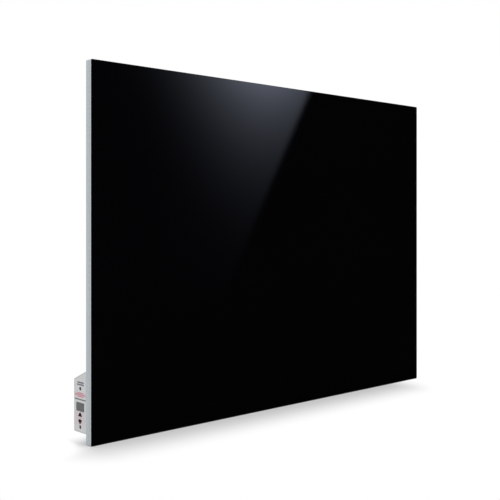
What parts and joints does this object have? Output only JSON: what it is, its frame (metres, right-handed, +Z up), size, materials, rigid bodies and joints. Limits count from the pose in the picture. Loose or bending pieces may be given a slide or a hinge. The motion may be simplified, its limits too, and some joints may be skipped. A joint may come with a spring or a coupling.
{
  "type": "infrared panel heater",
  "caption": "Flat wall-hung infrared heater: black glass front on a shallow steel tray, hanger brackets behind, and a thermostat box with display and push buttons at the lower left.",
  "frame": {"origin": "middle of the overall width and depth, level with the panel's bottom edge", "axes": "+X to the right as the glass is seen, +Y from the glass to the wall, +Z up"},
  "size_m": [0.7, 0.044, 0.5],
  "materials": {
    "black_glass": "high gloss, back-painted black",
    "silicone": "matt pale grey",
    "foil": "bright rolled foil",
    "cable_jacket": "satin silicone jacket",
    "mineral_mat": "matt mineral fibre",
    "painted_steel": "fine-textured pale grey powder coat",
    "zinc_steel": "bright zinc plate",
    "dark_screw": "black-passivated",
    "brass": "bright stamped brass",
    "rubber": "matt black",
    "moulded_box": "fine spark-eroded texture, pale grey",
    "printed_film": "satin polycarbonate film",
    "display_lens": "smoked clear plastic",
    "display_glass": "liquid-crystal grey-green",
    "key_plastic": "satin black",
    "black_plastic": "satin black",
    "blue_plastic": "satin",
    "white_plastic": "satin",
    "circuit_board": "solder-mask green",
    "brown_wire": "satin insulation",
    "blue_wire": "satin insulation",
    "green_wire": "satin insulation, green and yellow"
  },
  "bodies": {
    "heater": {"front_glass": "black_glass", "glass_seal": "silicone", "heat_spreader": "foil", "heating_cable": "cable_jacket", "insulation_mat": "mineral_mat", "rear_casing": "painted_steel", "thermal_cutout": "black_plastic", "joint_sleeve_live": "black_plastic", "joint_sleeve_neutral": "black_plastic", "cutout_link": "brown_wire", "lead_live": "brown_wire", "lead_earth": "green_wire", "lead_neutral": "blue_wire", "earth_stud": "zinc_steel", "earth_tag": "brass", "earth_nut": "zinc_steel", "lead_grommet": "rubber", "hanger_bracket_left": "painted_steel", "hanger_bracket_right": "painted_steel", "spacer_bracket_left": "painted_steel", "spacer_bracket_right": "painted_steel", "wall_bumper_left": "rubber", "wall_bumper_right": "rubber", "bracket_screw_1": "zinc_steel", "bracket_screw_2": "zinc_steel", "bracket_screw_3": "zinc_steel", "bracket_screw_4": "zinc_steel", "bracket_screw_5": "zinc_steel", "bracket_screw_6": "zinc_steel", "bracket_screw_7": "zinc_steel", "bracket_screw_8": "zinc_steel", "control_housing": "moulded_box", "fascia_plate": "moulded_box", "fascia_label": "printed_film", "display_window": "display_lens", "display_module": "display_glass", "control_board": "circuit_board", "relay": "blue_plastic", "supply_capacitor": "white_plastic", "room_sensor": "black_plastic", "terminal_block": "white_plastic", "board_lead_live": "brown_wire", "board_lead_neutral": "blue_wire", "supply_gland": "black_plastic", "gland_nut": "black_plastic", "switch_up": "black_plastic", "switch_down": "black_plastic", "fascia_screw_upper": "dark_screw", "fascia_screw_lower": "dark_screw", "housing_screw_1": "zinc_steel", "housing_screw_2": "zinc_steel", "housing_screw_3": "zinc_steel"},
    "up_button": {"button_up": "key_plastic", "switch_plunger_up": "black_plastic"},
    "down_button": {"button_down": "key_plastic", "switch_plunger_down": "black_plastic"}
  },
  "joints": [
    {"name": "up_button_press", "type": "slide", "parent": "heater", "child": "up_button", "axis": [1, 0, 0], "range_m": [0, 0.0008], "stiffness_N_per_m": 800, "springref_m": -0.0006},
    {"name": "down_button_press", "type": "slide", "parent": "heater", "child": "down_button", "axis": [1, 0, 0], "range_m": [0, 0.0008], "stiffness_N_per_m": 800, "springref_m": -0.0006}
  ]
}
